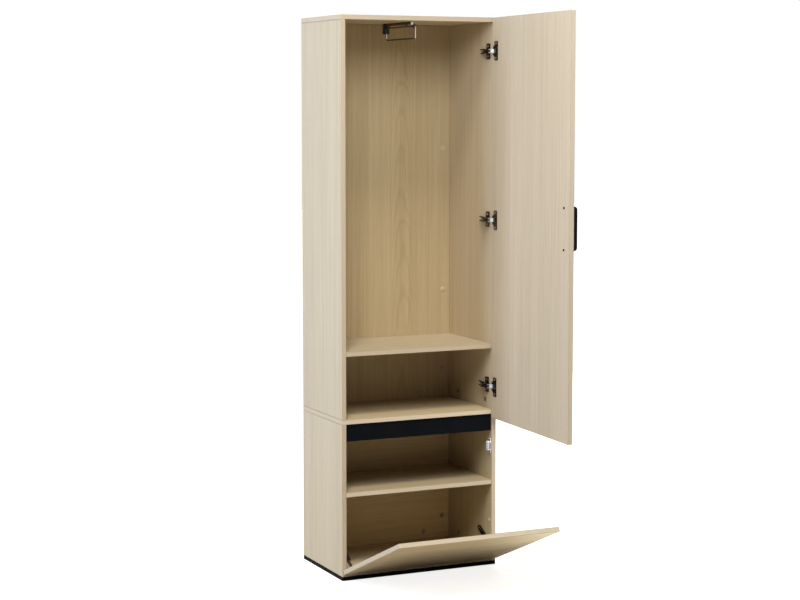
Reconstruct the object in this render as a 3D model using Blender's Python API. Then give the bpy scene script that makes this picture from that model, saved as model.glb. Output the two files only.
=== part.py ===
"""Hallway wardrobe: tall hanging cupboard with one hinged door above a drop-down flap.

Metres, +Z up, front facing -Y, origin at the middle of the carcass underside.
The door and the flap stand in the open position of the reference view.
"""
import math

import bmesh
import bpy
from mathutils import Matrix, Vector

for old in list(bpy.data.objects):
    bpy.data.objects.remove(old, do_unlink=True)

MM = 0.001

# Carcass
WIDTH = 557.0
DEPTH = 337.0
HEIGHT = 1820.0
BOARD = 15.0
BASE_H = 13.0
MID_Z = 511.0
GAP = 0.3
EDGE_R = 0.6
SHELF_UPPER_Z = 730.6
SHELF_LOWER_Z = 273.0
SHELF_SETBACK = 1.0
SHELF_PLAY = 0.5
STRIP_H = 56.4
STRIP_SETBACK = 6.0

# Door and flap
DOOR_GAP = 2.0
REVEAL = 1.0
DOOR_LAP = 11.0
DOOR_OPEN = math.radians(87.5)
FLAP_LIFT = 8.2
FLAP_HEAD = 26.3
FLAP_OPEN = math.radians(67.3)
PAD_INSET = 84.4
PAD_DROP = 115.3

# Cup hinge, in u (inwards from the door edge line) and v (forwards from the carcass front)
ARM_U = 34.5
ARM_V = 7.7
CUP_P = 11.5
CUP_Q = 6.5
LINK_RATIO = 0.4037
CUP_CENTRE = 21.7
CUP_R = 17.5
CUP_WALL = 1.2
CUP_DEPTH = 12.2
CUP_FLANGE = 1.2
CUP_SCREW_W = 24.0
CUP_SCREW_P = 28.0
PIN_R = 1.0
PIN_PLAY = 0.3
LINK_T = 1.4
LINK_W = 6.4
PLATE_SCREW_V = -33.0
PLATE_SCREW_W = 16.0
PLATE_HALF = 11.5
PLATE_WING = 25.5
PLATE_T = 3.4
HINGE_LOW = 106.0
HINGE_HIGH = 108.0
FLAP_HINGE_INSET = 147.5

# Handle
HANDLE_SPACING = 128.0
HANDLE_FROM_EDGE = 37.0
HANDLE_REACH = 28.0
HANDLE_BAR = 9.0

# Knock-down fittings, shelf pins
CAM_R = 7.5
CAM_DEPTH = 12.0
CAM_EDGE = 27.0
CAM_FRONT = 50.0
CAM_REAR = 72.0
CAM_ROW = 98.5
CAM_SHARE_UPPER = (0.0774, 0.2924, 0.6747)
CAM_SHARE_LOWER = (0.161, 0.8136)
CAM_HIGH_REAR = 52.9
CAM_HIGH_DROP = 91.0
PIN_HOLE_R = 2.6
PIN_PITCH = 32.0
PIN_FRONT = 36.0
PIN_REAR = 60.0
CAP_INSET = 14.0
CAP_RISE = 121.7

# Pull-out rail
RAIL_HALF = 6.0
RAIL_H = 8.0
RAIL_WALL = 1.2
RAIL_SLOT = 2.2
RAIL_INSET_FRONT = 68.5
RAIL_INSET_REAR = 49.5
RUNNER_HALF = 3.5
RUNNER_GAP = 5.0
RUNNER_H = 4.0
GLIDE_LEN = 12.0
HOUSING_HALF = 9.0
HOUSING_LEN = 18.0
HOUSING_H = 34.0
LOOP_INSET = 40.5
LOOP_DROP = 55.0
LOOP_R = 2.2
LOOP_BEND = 5.0

# Flap stays and catch
STAY_PIN_Y = 76.0
STAY_PIN_RISE = 83.7
STAY_S = 24.0
STAY_N = 9.3
STAY_T = 2.0
STAY_W = 6.2
STAY_RATIO = 0.197
STAY_PIN_R = 1.9
STAY_PLAY = 0.5
STAY_OFF = 3.0
CATCH_DROP = 109.0

FRONT = -DEPTH / 2
REAR = DEPTH / 2
SIDE = WIDTH / 2
INNER = SIDE - BOARD
BACK_FACE = REAR - BOARD
MID_TOP = MID_Z + BOARD
TOP_Z = HEIGHT - BOARD
FLOOR_Z = BASE_H + GAP + BOARD
DOOR_W = WIDTH - 2 * REVEAL
DOOR_TOP = HEIGHT - REVEAL
DOOR_Z = MID_Z - DOOR_LAP
FLAP_Z = BASE_H + FLAP_LIFT
FLAP_H = MID_Z - FLAP_HEAD - FLAP_Z
FLAP_BASE = FLAP_Z - REVEAL
HINGE_BOTTOM = DOOR_Z + HINGE_LOW
HINGE_TOP = DOOR_TOP - HINGE_HIGH
DOOR_HINGE_Z = (HINGE_BOTTOM, (HINGE_BOTTOM + HINGE_TOP) / 2, HINGE_TOP)
FLAP_HINGE_X = (FLAP_HINGE_INSET - DOOR_W / 2, DOOR_W / 2 - FLAP_HINGE_INSET)
STAY_PIN_Z = FLOOR_Z + STAY_PIN_RISE
CATCH_Z = MID_Z - CATCH_DROP
RAIL_FRONT = FRONT + RAIL_INSET_FRONT
RAIL_REAR = BACK_FACE - RAIL_INSET_REAR
LOOP_FRONT = FRONT + LOOP_INSET
LOOP_Z = TOP_Z - LOOP_DROP


def material(name, colour, rough, metal=0.0):
    mat = bpy.data.materials.new(name)
    mat.use_nodes = True
    shader = mat.node_tree.nodes["Principled BSDF"]
    shader.inputs["Base Color"].default_value = (*colour, 1.0)
    shader.inputs["Roughness"].default_value = rough
    shader.inputs["Metallic"].default_value = metal
    mat.diffuse_color = (*colour, 1.0)
    return mat


WOOD = ((0.66, 0.58, 0.47), 0.5, 0.0)
BLACK = ((0.012, 0.012, 0.018), 0.45, 0.0)
STEEL = ((0.72, 0.72, 0.72), 0.25, 1.0)
BRONZE = ((0.06, 0.05, 0.06), 0.35, 1.0)
WHITE = ((0.85, 0.86, 0.88), 0.4, 0.0)


def node(name, bm, finish, origin=(0.0, 0.0, 0.0)):
    """One named object; its mesh is given in millimetres of the common frame."""
    shift = Matrix.Translation(-Vector(origin))
    bmesh.ops.transform(bm, matrix=Matrix.Scale(MM, 4) @ shift, verts=bm.verts)
    bmesh.ops.recalc_face_normals(bm, faces=bm.faces)
    mesh = bpy.data.meshes.new(name)
    bm.to_mesh(mesh)
    bm.free()
    obj = bpy.data.objects.new(name, mesh)
    obj.location = Vector(origin) * MM
    bpy.context.scene.collection.objects.link(obj)
    mesh.materials.append(material(name + "_finish", *finish))
    return obj


def box(x0, x1, y0, y1, z0, z1, edge=0.0):
    bm = bmesh.new()
    size = Matrix.Diagonal((x1 - x0, y1 - y0, z1 - z0, 1.0))
    place = Matrix.Translation(((x0 + x1) / 2, (y0 + y1) / 2, (z0 + z1) / 2))
    bmesh.ops.create_cube(bm, size=1.0, matrix=place @ size)
    if edge:
        bmesh.ops.bevel(bm, geom=list(bm.edges), offset=edge, segments=1, affect="EDGES")
    return bm


def prism(points, low, high, frame=None):
    """A closed outline in a plane, drawn out along the third axis of a frame."""
    bm = bmesh.new()
    under = [bm.verts.new((a, b, low)) for a, b in points]
    over = [bm.verts.new((a, b, high)) for a, b in points]
    count = len(points)
    bm.faces.new(under[::-1])
    bm.faces.new(over)
    for i in range(count):
        j = (i + 1) % count
        bm.faces.new((under[i], under[j], over[j], over[i]))
    if frame is not None:
        bmesh.ops.transform(bm, matrix=frame, verts=bm.verts)
    return bm


def circle(cx, cy, radius, count):
    turn = 2 * math.pi / count
    return [(cx + radius * math.cos(turn * i), cy + radius * math.sin(turn * i)) for i in range(count)]


def arc(cx, cy, radius, start, end, count):
    step = math.radians(end - start) / count
    begin = math.radians(start)
    return [(cx + radius * math.cos(begin + step * i), cy + radius * math.sin(begin + step * i))
            for i in range(count + 1)]


def rod(start, end, radius, count=16):
    """A cylinder between two points."""
    start = Vector(start)
    axis = Vector(end) - start
    frame = Matrix.Translation(start) @ axis.to_track_quat("Z", "Y").to_matrix().to_4x4()
    return prism(circle(0.0, 0.0, radius, count), 0.0, axis.length, frame)


def join(*parts):
    """Several closed bodies in one mesh, left apart."""
    whole = bmesh.new()
    for part in parts:
        mesh = bpy.data.meshes.new("join")
        part.to_mesh(mesh)
        part.free()
        whole.from_mesh(mesh)
        bpy.data.meshes.remove(mesh)
    return whole


def boolean(base, tool, operation):
    """Exact boolean of two meshes, returned as a new mesh."""
    made = []
    for bm in (base, tool):
        bmesh.ops.recalc_face_normals(bm, faces=bm.faces)
        mesh = bpy.data.meshes.new("boolean")
        bm.to_mesh(mesh)
        bm.free()
        obj = bpy.data.objects.new("boolean", mesh)
        bpy.context.scene.collection.objects.link(obj)
        made.append(obj)
    target, cutter = made
    cutter.hide_render = True
    cutter.display_type = "WIRE"
    change = target.modifiers.new("boolean", "BOOLEAN")
    change.operation = operation
    change.solver = "EXACT"
    change.object = cutter
    graph = bpy.context.evaluated_depsgraph_get()
    result = bmesh.new()
    result.from_mesh(target.evaluated_get(graph).to_mesh())
    for obj in made:
        mesh = obj.data
        bpy.data.objects.remove(obj, do_unlink=True)
        bpy.data.meshes.remove(mesh)
    bmesh.ops.remove_doubles(result, verts=result.verts, dist=0.0001)
    return result


def cut(base, *tools):
    """Takes away tools that do not touch each other, in one pass."""
    return boolean(base, join(*tools), "DIFFERENCE")


def fuse(first, *others):
    for other in others:
        first = boolean(first, other, "UNION")
    return first


# Fittings that are let into the boards

def facing(x, y, z, normal):
    """A frame at a point whose Z axis is the given direction."""
    turn = Vector(normal).to_track_quat("Z", "Y").to_matrix().to_4x4()
    return Matrix.Translation((x, y, z)) @ turn


def bore(frame, radius, depth, count=12):
    return prism(circle(0.0, 0.0, radius, count), -depth, 1.0, frame)


def cam_bores(places):
    return [bore(place, CAM_R, CAM_DEPTH) for place in places]


# Cup hinge: planar layout, turned into the frame of the door or the flap

def turned(point, centre, angle):
    du = point[0] - centre[0]
    dv = point[1] - centre[1]
    c = math.cos(angle)
    s = math.sin(angle)
    return (centre[0] + du * c - dv * s, centre[1] + du * s + dv * c)


ARM = (ARM_U, ARM_V)
CUP = (REVEAL + CUP_P, DOOR_GAP + CUP_Q)


def leaf_point(p, q, angle):
    """Where a point of the leaf (p along it, q into it) lies when it stands open by the angle."""
    pivot = turned(CUP, ARM, -LINK_RATIO * angle)
    flat = (REVEAL + p, DOOR_GAP + q)
    moved = turned(flat, CUP, angle)
    return (moved[0] + pivot[0] - CUP[0], moved[1] + pivot[1] - CUP[1])


def door_frame(height):
    """u, v, w of a door hinge in the common frame."""
    turn = Matrix(((-1, 0, 0, SIDE), (0, -1, 0, FRONT), (0, 0, 1, height), (0, 0, 0, 1)))
    return turn


def flap_frame(across):
    turn = Matrix(((0, 0, 1, across), (0, -1, 0, FRONT), (1, 0, 0, FLAP_BASE), (0, 0, 0, 1)))
    return turn


def leaf_frame(frame, angle):
    """p, q, w of the open leaf; p runs along it from the hinge edge, q from its inner face outwards."""
    u0, v0 = leaf_point(0.0, 0.0, angle)
    c = math.cos(angle)
    s = math.sin(angle)
    local = Matrix(((c, -s, 0, u0), (s, c, 0, v0), (0, 0, 1, 0), (0, 0, 0, 1)))
    return frame @ local


def hinge_plate(frame, seat):
    """Winged plate screwed to the board face at u = seat."""
    ridge = box(seat + GAP, seat + 3.9, -62.0, -16.0, -5.5, 5.5, 0.5)
    front = PLATE_SCREW_V + PLATE_HALF
    rear = PLATE_SCREW_V - PLATE_HALF
    lift = Matrix(((0, 0, 1, 0), (1, 0, 0, 0), (0, 1, 0, 0), (0, 0, 0, 1)))
    outline = [(front, PLATE_WING - 2.5), (front - 2.5, PLATE_WING), (rear + 2.5, PLATE_WING),
               (rear, PLATE_WING - 2.5)]
    outline += [(v, -w) for v, w in reversed(outline)]
    wings = prism(outline, seat + GAP, seat + PLATE_T, lift)
    plate = fuse(wings, ridge)
    for side in (-1, 1):
        w = side * PLATE_SCREW_W
        v = PLATE_SCREW_V
        plate = fuse(plate, rod((seat + PLATE_T - 0.4, v, w), (seat + PLATE_T + 1.5, v, w), 3.8, 14))
        plate = fuse(plate, rod((seat - 9.0, v, w), (seat + 2.2, v, w), 1.7, 8))
    bmesh.ops.transform(plate, matrix=frame, verts=plate.verts)
    return plate


def plate_bores(frame, seat):
    return [bore(frame @ facing(seat, PLATE_SCREW_V, side * PLATE_SCREW_W, (1, 0, 0)), 2.0, 10.0, 12)
            for side in (-1, 1)]


def hinge_arm(frame, seat):
    """Channel-shaped arm over the plate, with a tongue that carries the link pin."""
    foot = seat + 4.2
    body = [(foot, -66.0), (foot + 6.5, -66.0), (38.5, -26.0), (40.0, -14.0), (39.4, -6.0),
            (33.0, -6.0), (30.0, -12.0), (foot + 4.0, -20.0), (foot, -24.0)]
    arm = prism(body, -6.0, 6.0)
    hollow = [(foot - 5.0, -63.0), (foot + 4.6, -63.0), (36.4, -26.6), (37.6, -14.5), (34.0, -11.0),
              (foot + 2.0, -17.0), (foot - 5.0, -17.0)]
    arm = cut(arm, prism(hollow, -4.6, 4.6))
    tongue = arc(ARM_U, ARM_V, 2.9, 0.0, 180.0, 8)
    tongue = [(38.6, -7.5), (38.4, -3.0), (37.3, 0.5)] + tongue + [(31.8, 0.0), (33.4, -5.0), (33.8, -7.5)]
    arm = fuse(arm, prism(tongue, -4.0, 4.0))
    pin_hole = rod((ARM_U, ARM_V, -9.0), (ARM_U, ARM_V, 9.0), PIN_R + PIN_PLAY, 16)
    arm = cut(arm, pin_hole)
    slope = foot + 6.5 + (38.5 - foot - 6.5) * (66.0 - 44.0) / (66.0 - 26.0)
    screw = rod((foot + 3.0, -44.0, 0.0), (slope + 1.0, -44.0, 0.0), 2.6, 12)
    arm = fuse(arm, screw)
    bmesh.ops.transform(arm, matrix=frame, verts=arm.verts)
    return arm


def hinge_link(frame, angle):
    """Broad link from the arm's pin to the cup's pin."""
    end = turned(CUP, ARM, -LINK_RATIO * angle)
    reach = math.dist(ARM, end)
    heading = math.atan2(end[1] - ARM[1], end[0] - ARM[0])
    half = LINK_T / 2
    web = [(4.0, -half), (reach, -half), (reach, half), (4.0, half)]
    link = prism(web, -LINK_W, LINK_W)
    link = fuse(link, prism(circle(reach, 0.0, 1.8, 12), -LINK_W, LINK_W))
    for side in (-1, 1):
        low, high = sorted((side * 4.4, side * 6.2))
        link = fuse(link, prism([(0.0, -half), (6.0, -half), (6.0, half), (0.0, half)], low, high))
        link = fuse(link, prism(circle(0.0, 0.0, 2.2, 12), low, high))
    link = fuse(link, prism(circle(0.0, 0.0, PIN_R, 12), -5.0, 5.0))
    link = fuse(link, prism(circle(reach, 0.0, PIN_R, 12), -13.8, 13.8))
    place = frame @ Matrix.Translation((*ARM, 0.0)) @ Matrix.Rotation(heading, 4, "Z")
    bmesh.ops.transform(link, matrix=place, verts=link.verts)
    return link


def hinge_cup(leaf):
    """Pressed cup with a winged flange, open towards the hinge edge for the link."""
    side_on = Matrix(((1, 0, 0, 0), (0, 0, 1, 0), (0, 1, 0, 0), (0, 0, 0, 1)))
    flange = prism(circle(CUP_CENTRE, 0.0, CUP_R + 2.0, 24), -CUP_FLANGE - GAP, -GAP, side_on)
    near = REVEAL + BOARD - CUP_CENTRE
    half_wing = [(near, 29.0), (near + 2.5, 31.5), (10.5, 31.5), (13.0, 29.0)]
    wing = [(p, -w) for p, w in half_wing] + half_wing[::-1]
    wing = [(CUP_CENTRE + p, w) for p, w in wing]
    flange = fuse(flange, prism(wing, -CUP_FLANGE - GAP, -GAP, side_on))
    well = prism(circle(CUP_CENTRE, 0.0, CUP_R, 24), -GAP - 0.5, CUP_DEPTH, side_on)
    cup = fuse(flange, well)
    cup = cut(cup, prism(circle(CUP_CENTRE, 0.0, CUP_R - CUP_WALL, 24), -5.0, CUP_DEPTH - CUP_WALL, side_on))
    notch = box(-2.0, 9.0, -5.0, 4.0, -LINK_W - 0.6, LINK_W + 0.6)
    cup = cut(cup, notch)
    cup = cut(cup, rod((CUP_P, CUP_Q, -20.0), (CUP_P, CUP_Q, 20.0), PIN_R + PIN_PLAY, 16))
    face = -CUP_FLANGE - GAP
    for side in (-1, 1):
        w = side * CUP_SCREW_W
        cup = fuse(cup, rod((CUP_SCREW_P, face + 0.4, w), (CUP_SCREW_P, face - 1.4, w), 3.6, 14))
        cup = fuse(cup, rod((CUP_SCREW_P, face + 0.6, w), (CUP_SCREW_P, 9.5, w), 1.6, 8))
    bmesh.ops.transform(cup, matrix=leaf, verts=cup.verts)
    return cup


def cup_bores(w0):
    """Bores of one hinge in a leaf that is drawn flat (p, q, w)."""
    tools = [rod((CUP_CENTRE, -2.0, w0), (CUP_CENTRE, CUP_DEPTH + GAP, w0), CUP_R + 0.6, 24)]
    for side in (-1, 1):
        w = w0 + side * CUP_SCREW_W
        tools.append(rod((CUP_SCREW_P, -2.0, w), (CUP_SCREW_P, 10.5, w), 1.9, 12))
    return tools


# Carcass boards

base_board = box(-SIDE, SIDE, FRONT, REAR, 0.0, BASE_H, EDGE_R)
node("base_board", base_board, BLACK)

bottom = box(-INNER + GAP, INNER - GAP, FRONT, BACK_FACE - GAP, BASE_H + GAP, FLOOR_Z, EDGE_R)
flap_seat = FLOOR_Z - FLAP_BASE
bottom = cut(bottom, *[tool for x in FLAP_HINGE_X for tool in plate_bores(flap_frame(x), flap_seat)])
node("bottom_panel", bottom, WOOD)

node("mid_panel", box(-SIDE, SIDE, FRONT, REAR, MID_Z, MID_TOP, EDGE_R), WOOD)
node("top_panel", box(-SIDE, SIDE, FRONT, REAR, TOP_Z, HEIGHT, EDGE_R), WOOD)

CAM_Y = (FRONT + CAM_FRONT, BACK_FACE - CAM_REAR)
SHELF_PIN_Y = (FRONT + PIN_FRONT, BACK_FACE - PIN_REAR)
SHELF_PIN_Z = SHELF_LOWER_Z - PIN_HOLE_R

for label, sign in (("left", -1), ("right", 1)):
    face = sign * INNER
    inward = (-sign, 0, 0)
    x0, x1 = sorted((face, sign * SIDE))
    lower = box(x0, x1, FRONT, REAR, BASE_H + GAP, MID_Z - GAP, EDGE_R)
    tools = cam_bores([facing(face, y, FLOOR_Z + CAM_EDGE, inward) for y in CAM_Y])
    tools += cam_bores([facing(face, y, MID_Z - CAM_EDGE, inward) for y in CAM_Y])
    for place, y in zip(("front", "rear"), SHELF_PIN_Y):
        for step in (-1, 0, 1):
            tools.append(bore(facing(face, y, SHELF_PIN_Z + step * PIN_PITCH, inward), PIN_HOLE_R, 9.0, 12))
        ends = (face + sign * 8.0, y, SHELF_PIN_Z), (face - sign * 7.0, y, SHELF_PIN_Z)
        pin = rod(*ends, PIN_HOLE_R - GAP, 12)
        node("shelf_pin_%s_%s" % (label, place), pin, STEEL)
    tools.append(bore(facing(face, FRONT + STAY_PIN_Y, STAY_PIN_Z, inward), 2.3, 9.0, 12))
    node("side_lower_" + label, cut(lower, *tools), WOOD)

    upper = box(x0, x1, FRONT, REAR, MID_TOP + GAP, TOP_Z - GAP, EDGE_R)
    tools = cam_bores([facing(face, y, MID_TOP + CAM_EDGE, inward) for y in CAM_Y])
    tools += cam_bores([facing(face, BACK_FACE - CAM_HIGH_REAR, TOP_Z - CAM_HIGH_DROP, inward)])
    if sign > 0:
        for height in DOOR_HINGE_Z:
            tools += plate_bores(door_frame(height), BOARD)
    node("side_upper_" + label, cut(upper, *tools), WOOD)

toward = (0, -1, 0)
side_x = INNER - CAM_EDGE
row_x = INNER - CAM_ROW
back = box(-INNER + GAP, INNER - GAP, BACK_FACE, REAR, MID_TOP + GAP, TOP_Z - GAP, EDGE_R)
spots = [(s * side_x, MID_TOP + share * (TOP_Z - MID_TOP)) for s in (-1, 1) for share in CAM_SHARE_UPPER]
spots += [(s * row_x, MID_TOP + CAM_EDGE) for s in (-1, 1)]
node("back_upper", cut(back, *cam_bores([facing(x, BACK_FACE, z, toward) for x, z in spots])), WOOD)

back = box(-INNER + GAP, INNER - GAP, BACK_FACE, REAR, BASE_H + GAP, MID_Z - GAP, EDGE_R)
spots = [(s * side_x, FLOOR_Z + share * (MID_Z - FLOOR_Z)) for s in (-1, 1) for share in CAM_SHARE_LOWER]
spots += [(s * row_x, FLOOR_Z + CAM_EDGE) for s in (-1, 1)]
node("back_lower", cut(back, *cam_bores([facing(x, BACK_FACE, z, toward) for x, z in spots])), WOOD)

for label, z in (("shelf_upper", SHELF_UPPER_Z), ("shelf_lower", SHELF_LOWER_Z)):
    shelf = box(-INNER + SHELF_PLAY, INNER - SHELF_PLAY, FRONT + SHELF_SETBACK, BACK_FACE - SHELF_PLAY,
                z, z + BOARD, EDGE_R)
    node(label, shelf, WOOD)

strip_front = FRONT + STRIP_SETBACK
strip_top = MID_Z - GAP
strip_low = strip_top - STRIP_H
strip = box(-INNER + GAP, INNER - GAP, strip_front, strip_front + BOARD, strip_low, strip_top, EDGE_R)
node("grip_strip", strip, BLACK)

# Door, hung on the right on cup hinges

arm_axis = (SIDE - ARM_U, FRONT - ARM_V, 0.0)
open_cup = leaf_point(CUP_P, CUP_Q, DOOR_OPEN)
door_axis = (SIDE - open_cup[0], FRONT - open_cup[1], 0.0)
door_z0 = door_frame(0.0)
door_leaf = leaf_frame(door_z0, DOOR_OPEN)

door = box(0.0, DOOR_W, 0.0, BOARD, DOOR_Z, DOOR_TOP, EDGE_R)
tools = [tool for height in DOOR_HINGE_Z for tool in cup_bores(height)]
handle_p = DOOR_W - HANDLE_FROM_EDGE
handle_z = (DOOR_Z + DOOR_TOP) / 2
for side in (-1, 1):
    w = handle_z + side * HANDLE_SPACING / 2
    tools.append(rod((handle_p, -2.0, w), (handle_p, BOARD + 2.0, w), 2.4, 12))
door = cut(door, *tools)
bmesh.ops.transform(door, matrix=door_leaf, verts=door.verts)
node("door_panel", door, WOOD, door_axis)

for number, height in enumerate(DOOR_HINGE_Z, 1):
    frame = door_frame(height)
    leaf = leaf_frame(frame, DOOR_OPEN)
    node("hinge_plate_%d" % number, hinge_plate(frame, BOARD), BRONZE)
    node("hinge_arm_%d" % number, hinge_arm(frame, BOARD), BRONZE)
    node("door_cup_%d" % number, hinge_cup(leaf), BRONZE, door_axis)
    node("door_link_%d" % number, hinge_link(frame, DOOR_OPEN), STEEL, arm_axis)

# Bow handle: two feet and a bar with rounded shoulders
low = handle_z - HANDLE_SPACING / 2
high = handle_z + HANDLE_SPACING / 2
root_q = BOARD + GAP
tip_q = BOARD + HANDLE_REACH
half = HANDLE_BAR / 2
outer_low = arc(tip_q - 11.0, low - half + 11.0, 11.0, -90.0, 0.0, 6)
outer_high = arc(tip_q - 11.0, high + half - 11.0, 11.0, 0.0, 90.0, 6)
inner_high = arc(tip_q - HANDLE_BAR - 5.0, high - half - 5.0, 5.0, 90.0, 0.0, 4)
inner_low = arc(tip_q - HANDLE_BAR - 5.0, low + half + 5.0, 5.0, 0.0, -90.0, 4)
bow = [(root_q, low - half)] + outer_low + outer_high + [(root_q, high + half), (root_q, high - half)]
bow += inner_high + inner_low + [(root_q, low + half)]
upright = Matrix(((0, 0, 1, handle_p), (1, 0, 0, 0), (0, 1, 0, 0), (0, 0, 0, 1)))
handle = prism(bow, -5.0, 5.0, upright)
for w in (low, high):
    handle = fuse(handle, rod((handle_p, root_q, w), (handle_p, root_q + 5.0, w), 6.5, 20))
for w in (low, high):
    handle = fuse(handle, rod((handle_p, -GAP - 0.5, w), (handle_p, root_q + 3.0, w), 1.9, 12))
    handle = fuse(handle, rod((handle_p, -GAP, w), (handle_p, -2.0, w), 3.6, 16))
bmesh.ops.transform(handle, matrix=door_leaf, verts=handle.verts)
node("door_handle", handle, BLACK, door_axis)

pad_p = DOOR_W - PAD_INSET
pad_z = DOOR_TOP - PAD_DROP
pad = rod((pad_p, -GAP, pad_z), (pad_p, -1.4, pad_z), 4.5, 20)
bmesh.ops.transform(pad, matrix=door_leaf, verts=pad.verts)
node("door_pad", pad, WHITE, door_axis)

# Flap, hung on cranked cup hinges on the bottom panel

flap_arm_axis = (0.0, FRONT - ARM_V, FLAP_BASE + ARM_U)
flap_cup = leaf_point(CUP_P, CUP_Q, FLAP_OPEN)
flap_axis = (0.0, FRONT - flap_cup[1], FLAP_BASE + flap_cup[0])
flap_leaf = leaf_frame(flap_frame(0.0), FLAP_OPEN)

flap = box(0.0, FLAP_H, 0.0, BOARD, -DOOR_W / 2, DOOR_W / 2, EDGE_R)
flap = cut(flap, *[tool for x in FLAP_HINGE_X for tool in cup_bores(x)])
bmesh.ops.transform(flap, matrix=flap_leaf, verts=flap.verts)
node("flap_panel", flap, WOOD, flap_axis)

for number, across in enumerate(FLAP_HINGE_X, 1):
    frame = flap_frame(across)
    leaf = leaf_frame(frame, FLAP_OPEN)
    node("flap_plate_%d" % number, hinge_plate(frame, flap_seat), BRONZE)
    node("flap_arm_%d" % number, hinge_arm(frame, flap_seat), BRONZE)
    node("flap_cup_%d" % number, hinge_cup(leaf), BRONZE, flap_axis)
    node("flap_link_%d" % number, hinge_link(frame, FLAP_OPEN), STEEL, flap_arm_axis)

# Magnetic catch on the right side, its strike on the flap

catch_y = FRONT + 1.5
catch = box(INNER - GAP - 12.0, INNER - GAP, catch_y, catch_y + 17.0, CATCH_Z - 15.0, CATCH_Z + 15.0, 1.2)
ears = box(INNER - GAP - 3.0, INNER - GAP, catch_y + 3.0, catch_y + 15.0, CATCH_Z - 24.0, CATCH_Z + 24.0, 0.8)
catch = fuse(catch, ears)
wall = INNER - GAP
mouth = box(wall - 10.0, wall - 2.0, catch_y - 2.0, catch_y + 9.0, CATCH_Z - 11.0, CATCH_Z + 11.0)
catch = cut(catch, mouth)
ear_holes = [bore(facing(INNER - 3.3, catch_y + 9.0, CATCH_Z + side * 19.0, (-1, 0, 0)), 2.0, 5.0, 12)
             for side in (-1, 1)]
node("catch_body", cut(catch, *ear_holes), WHITE)
magnet = box(wall - 9.4, wall - 2.6, catch_y + 0.4, catch_y + 8.4, CATCH_Z - 10.4, CATCH_Z + 10.4, 0.3)
node("catch_magnet", magnet, STEEL)

strike_p = CATCH_Z - FLAP_Z
strike = box(strike_p - 18.0, strike_p + 18.0, -1.4, -GAP, INNER - 13.5, INNER - 2.0, 0.3)
bmesh.ops.transform(strike, matrix=flap_leaf, verts=strike.verts)
node("catch_strike", strike, STEEL, flap_axis)

cap_y = FRONT + CAP_INSET
cap_z = FLOOR_Z + CAP_RISE
cap = rod((INNER - GAP, cap_y, cap_z), (INNER - 1.8, cap_y, cap_z), 5.0, 20)
node("side_cap", cap, WHITE)

# Flap stays: slotted bars that hang on pins in the sides and end on brackets of the flap

stay_uv = leaf_point(STAY_S, -STAY_N, FLAP_OPEN)
stay_foot = (FRONT - stay_uv[1], FLAP_BASE + stay_uv[0])
stay_head = (FRONT + STAY_PIN_Y, STAY_PIN_Z)
stay_len = math.dist(stay_foot, stay_head)
stay_turn = math.atan2(stay_head[1] - stay_foot[1], stay_head[0] - stay_foot[0])
stay_axis = (0.0, stay_foot[0], stay_foot[1])


def pin_in_stay(angle):
    """The side pin as the stay sees it while the flap stands open by the angle."""
    u, v = leaf_point(STAY_S, -STAY_N, angle)
    foot_y = FRONT - v
    foot_z = FLAP_BASE + u
    lean = stay_turn + STAY_RATIO * (FLAP_OPEN - angle)
    return turned((stay_head[0] - foot_y, stay_head[1] - foot_z), (0.0, 0.0), -lean)


def thick_line(points, half):
    """Outline of a rounded slot along a gentle curve that runs in one direction."""
    tilt = [math.degrees(math.atan2(b[1] - a[1], b[0] - a[0])) for a, b in zip(points, points[1:])]
    tilt = [tilt[0]] + [(a + b) / 2 for a, b in zip(tilt, tilt[1:])] + [tilt[-1]]
    outline = arc(*points[-1], half, tilt[-1] - 90.0, tilt[-1] + 90.0, 8)
    for point, lean in reversed(list(zip(points[1:-1], tilt[1:-1]))):
        outline += arc(*point, half, lean + 90.0, lean + 90.0, 1)[:1]
    outline += arc(*points[0], half, tilt[0] + 90.0, tilt[0] + 270.0, 8)
    for point, lean in zip(points[1:-1], tilt[1:-1]):
        outline += arc(*point, half, lean - 90.0, lean - 90.0, 1)[:1]
    return outline


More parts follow.
